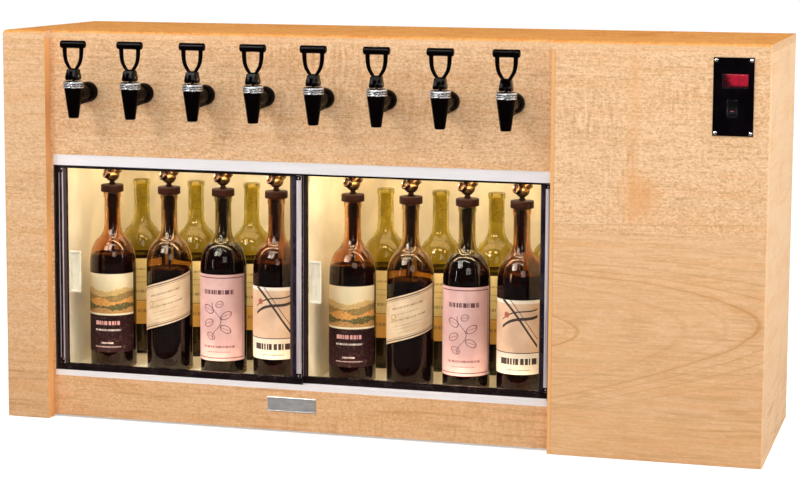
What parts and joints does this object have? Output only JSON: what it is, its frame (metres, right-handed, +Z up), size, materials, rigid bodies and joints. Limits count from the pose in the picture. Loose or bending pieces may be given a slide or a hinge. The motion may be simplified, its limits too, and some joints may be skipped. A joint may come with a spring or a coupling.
{
  "type": "wine preservation dispenser",
  "caption": "Countertop wood cabinet that keeps opened wine under gas behind sliding glass doors and pours it through a row of loop-handled self-closing taps.",
  "frame": {"origin": "middle of the cabinet's underside", "axes": "+Z up, the front with the taps faces -Y, +X runs from the bottle chamber towards the machine section along the width"},
  "size_m": [1.22, 0.4228, 0.628],
  "materials": {
    "maple": "satin lacquer over fine-grained maple",
    "liner_ivory": "smooth cream moulded liner",
    "lamp_diffuser": "milky diffuser, lit",
    "track_silver": "bright anodised extrusion",
    "jamb_black": "black extrusion",
    "door_frame_dark": "dark bronze and black anodised, polished pull strip",
    "door_glass": "clear toughened glass",
    "pull_ivory": "cream moulded finger pull",
    "tap_black": "polished black",
    "bonnet_chrome": "polished, ribbed",
    "nut_brass": "machined",
    "spring_steel": "drawn wire",
    "stem_steel": "turned",
    "plate_black": "gloss black plate",
    "display_red": "red filter window over a lit display",
    "rocker_black": "satin black",
    "box_grey": "moulded",
    "screw_steel": "bright",
    "plate_silver": "brushed, bare",
    "bottle_glass": "coloured bottle glass",
    "wine_red": "dark red wine",
    "label_paper": null,
    "stopper_brown": "dark brown stopper",
    "fitting_brass": "polished, partly plated",
    "compressor_black": "black enamel",
    "coil_metal": "bare fins and tubes",
    "fan_black": "moulded",
    "inlet_black": "moulded",
    "gas_brass": "machined",
    "line_clear": "translucent tubing"
  },
  "bodies": {
    "root": {"top_panel": "maple", "base_panel": "maple", "left_side_panel": "maple", "right_side_panel": "maple", "left_stile": "maple", "front_panel": "maple", "machine_front_panel": "maple", "partition_panel": "maple", "back_panel": "maple", "chamber_liner": "liner_ivory", "chamber_lamp": "lamp_diffuser", "door_track_top": "track_silver", "door_track_bottom": "track_silver", "door_jambs": "jamb_black", "tap_bodies": "tap_black", "tap_bonnets": "bonnet_chrome", "shank_nuts": "nut_brass", "bonnet_springs": "spring_steel", "control_plate": "plate_black", "display_window": "display_red", "controller_box": "box_grey", "screws": "screw_steel", "name_plate": "plate_silver", "bottles": "bottle_glass", "wine_fill": "wine_red", "bottle_labels": "label_paper", "stoppers": "stopper_brown", "stopper_fittings": "fitting_brass", "compressor": "compressor_black", "condenser": "coil_metal", "evaporator": "coil_metal", "power_inlet": "inlet_black", "gas_inlet": "gas_brass", "gas_manifold": "gas_brass", "fluid_lines": "line_clear"},
    "left_door": {"left_door_frame": "door_frame_dark", "left_door_glass": "door_glass", "left_door_pull": "pull_ivory"},
    "right_door": {"right_door_frame": "door_frame_dark", "right_door_glass": "door_glass", "right_door_pull": "pull_ivory"},
    "rocker": {"rocker_switch": "rocker_black"},
    "condenser_fan": {"condenser_fan": "fan_black"},
    "evaporator_fan": {"evaporator_fan": "fan_black"},
    "stem_1": {"stem_1": "stem_steel"},
    "lever_1": {"lever_1": "tap_black"},
    "stem_2": {"stem_2": "stem_steel"},
    "lever_2": {"lever_2": "tap_black"},
    "stem_3": {"stem_3": "stem_steel"},
    "lever_3": {"lever_3": "tap_black"},
    "stem_4": {"stem_4": "stem_steel"},
    "lever_4": {"lever_4": "tap_black"},
    "stem_5": {"stem_5": "stem_steel"},
    "lever_5": {"lever_5": "tap_black"},
    "stem_6": {"stem_6": "stem_steel"},
    "lever_6": {"lever_6": "tap_black"},
    "stem_7": {"stem_7": "stem_steel"},
    "lever_7": {"lever_7": "tap_black"},
    "stem_8": {"stem_8": "stem_steel"},
    "lever_8": {"lever_8": "tap_black"}
  },
  "joints": [
    {"name": "left_door_slide", "type": "slide", "parent": "root", "child": "left_door", "axis": [1, 0, 0], "range_m": [0, 0.38]},
    {"name": "right_door_slide", "type": "slide", "parent": "root", "child": "right_door", "axis": [1, 0, 0], "range_m": [-0.38, 0]},
    {"name": "stem_1_lift", "type": "slide", "parent": "root", "child": "stem_1", "axis": [0, 0, 1], "range_m": [0, 0.005], "deforming": ["bonnet_springs"]},
    {"name": "lever_1_pull", "type": "hinge", "parent": "stem_1", "child": "lever_1", "pos_m": [-0.4697, -0.2225, 0.5598], "axis": [1, 0, 0], "range_deg": [0, 60], "stiffness_Nm_per_rad": 0.25, "springref_deg": -28.65},
    {"name": "stem_2_lift", "type": "slide", "parent": "root", "child": "stem_2", "axis": [0, 0, 1], "range_m": [0, 0.005], "deforming": ["bonnet_springs"]},
    {"name": "lever_2_pull", "type": "hinge", "parent": "stem_2", "child": "lever_2", "pos_m": [-0.3742, -0.2225, 0.5598], "axis": [1, 0, 0], "range_deg": [0, 60], "stiffness_Nm_per_rad": 0.25, "springref_deg": -28.65},
    {"name": "stem_3_lift", "type": "slide", "parent": "root", "child": "stem_3", "axis": [0, 0, 1], "range_m": [0, 0.005], "deforming": ["bonnet_springs"]},
    {"name": "lever_3_pull", "type": "hinge", "parent": "stem_3", "child": "lever_3", "pos_m": [-0.2709, -0.2225, 0.5598], "axis": [1, 0, 0], "range_deg": [0, 60], "stiffness_Nm_per_rad": 0.25, "springref_deg": -28.65},
    {"name": "stem_4_lift", "type": "slide", "parent": "root", "child": "stem_4", "axis": [0, 0, 1], "range_m": [0, 0.005], "deforming": ["bonnet_springs"]},
    {"name": "lever_4_pull", "type": "hinge", "parent": "stem_4", "child": "lever_4", "pos_m": [-0.1718, -0.2225, 0.5598], "axis": [1, 0, 0], "range_deg": [0, 60], "stiffness_Nm_per_rad": 0.25, "springref_deg": -28.65},
    {"name": "stem_5_lift", "type": "slide", "parent": "root", "child": "stem_5", "axis": [0, 0, 1], "range_m": [0, 0.005], "deforming": ["bonnet_springs"]},
    {"name": "lever_5_pull", "type": "hinge", "parent": "stem_5", "child": "lever_5", "pos_m": [-0.0747, -0.2225, 0.5598], "axis": [1, 0, 0], "range_deg": [0, 60], "stiffness_Nm_per_rad": 0.25, "springref_deg": -28.65},
    {"name": "stem_6_lift", "type": "slide", "parent": "root", "child": "stem_6", "axis": [0, 0, 1], "range_m": [0, 0.005], "deforming": ["bonnet_springs"]},
    {"name": "lever_6_pull", "type": "hinge", "parent": "stem_6", "child": "lever_6", "pos_m": [0.0253, -0.2225, 0.5598], "axis": [1, 0, 0], "range_deg": [0, 60], "stiffness_Nm_per_rad": 0.25, "springref_deg": -28.65},
    {"name": "stem_7_lift", "type": "slide", "parent": "root", "child": "stem_7", "axis": [0, 0, 1], "range_m": [0, 0.005], "deforming": ["bonnet_springs"]},
    {"name": "lever_7_pull", "type": "hinge", "parent": "stem_7", "child": "lever_7", "pos_m": [0.1244, -0.2225, 0.5598], "axis": [1, 0, 0], "range_deg": [0, 60], "stiffness_Nm_per_rad": 0.25, "springref_deg": -28.65},
    {"name": "stem_8_lift", "type": "slide", "parent": "root", "child": "stem_8", "axis": [0, 0, 1], "range_m": [0, 0.005], "deforming": ["bonnet_springs"]},
    {"name": "lever_8_pull", "type": "hinge", "parent": "stem_8", "child": "lever_8", "pos_m": [0.2254, -0.2225, 0.5598], "axis": [1, 0, 0], "range_deg": [0, 60], "stiffness_Nm_per_rad": 0.25, "springref_deg": -28.65},
    {"name": "rocker_tilt", "type": "hinge", "parent": "root", "child": "rocker", "pos_m": [0.5545, -0.1785, 0.534], "axis": [1, 0, 0], "range_deg": [0, 18]},
    {"name": "condenser_fan_spin", "type": "hinge", "parent": "root", "child": "condenser_fan", "pos_m": [0.4525, 0.0945, 0.1625], "axis": [0, 1, 0], "continuous": true},
    {"name": "evaporator_fan_spin", "type": "hinge", "parent": "root", "child": "evaporator_fan", "pos_m": [0.21, 0.0985, 0.456], "axis": [0, 0, 1], "continuous": true}
  ],
  "couplings": [
    {"joint": "lever_1_pull", "follows": "stem_1_lift", "rad_per_m": 209.4},
    {"joint": "lever_2_pull", "follows": "stem_2_lift", "rad_per_m": 209.4},
    {"joint": "lever_3_pull", "follows": "stem_3_lift", "rad_per_m": 209.4},
    {"joint": "lever_4_pull", "follows": "stem_4_lift", "rad_per_m": 209.4},
    {"joint": "lever_5_pull", "follows": "stem_5_lift", "rad_per_m": 209.4},
    {"joint": "lever_6_pull", "follows": "stem_6_lift", "rad_per_m": 209.4},
    {"joint": "lever_7_pull", "follows": "stem_7_lift", "rad_per_m": 209.4},
    {"joint": "lever_8_pull", "follows": "stem_8_lift", "rad_per_m": 209.4}
  ]
}
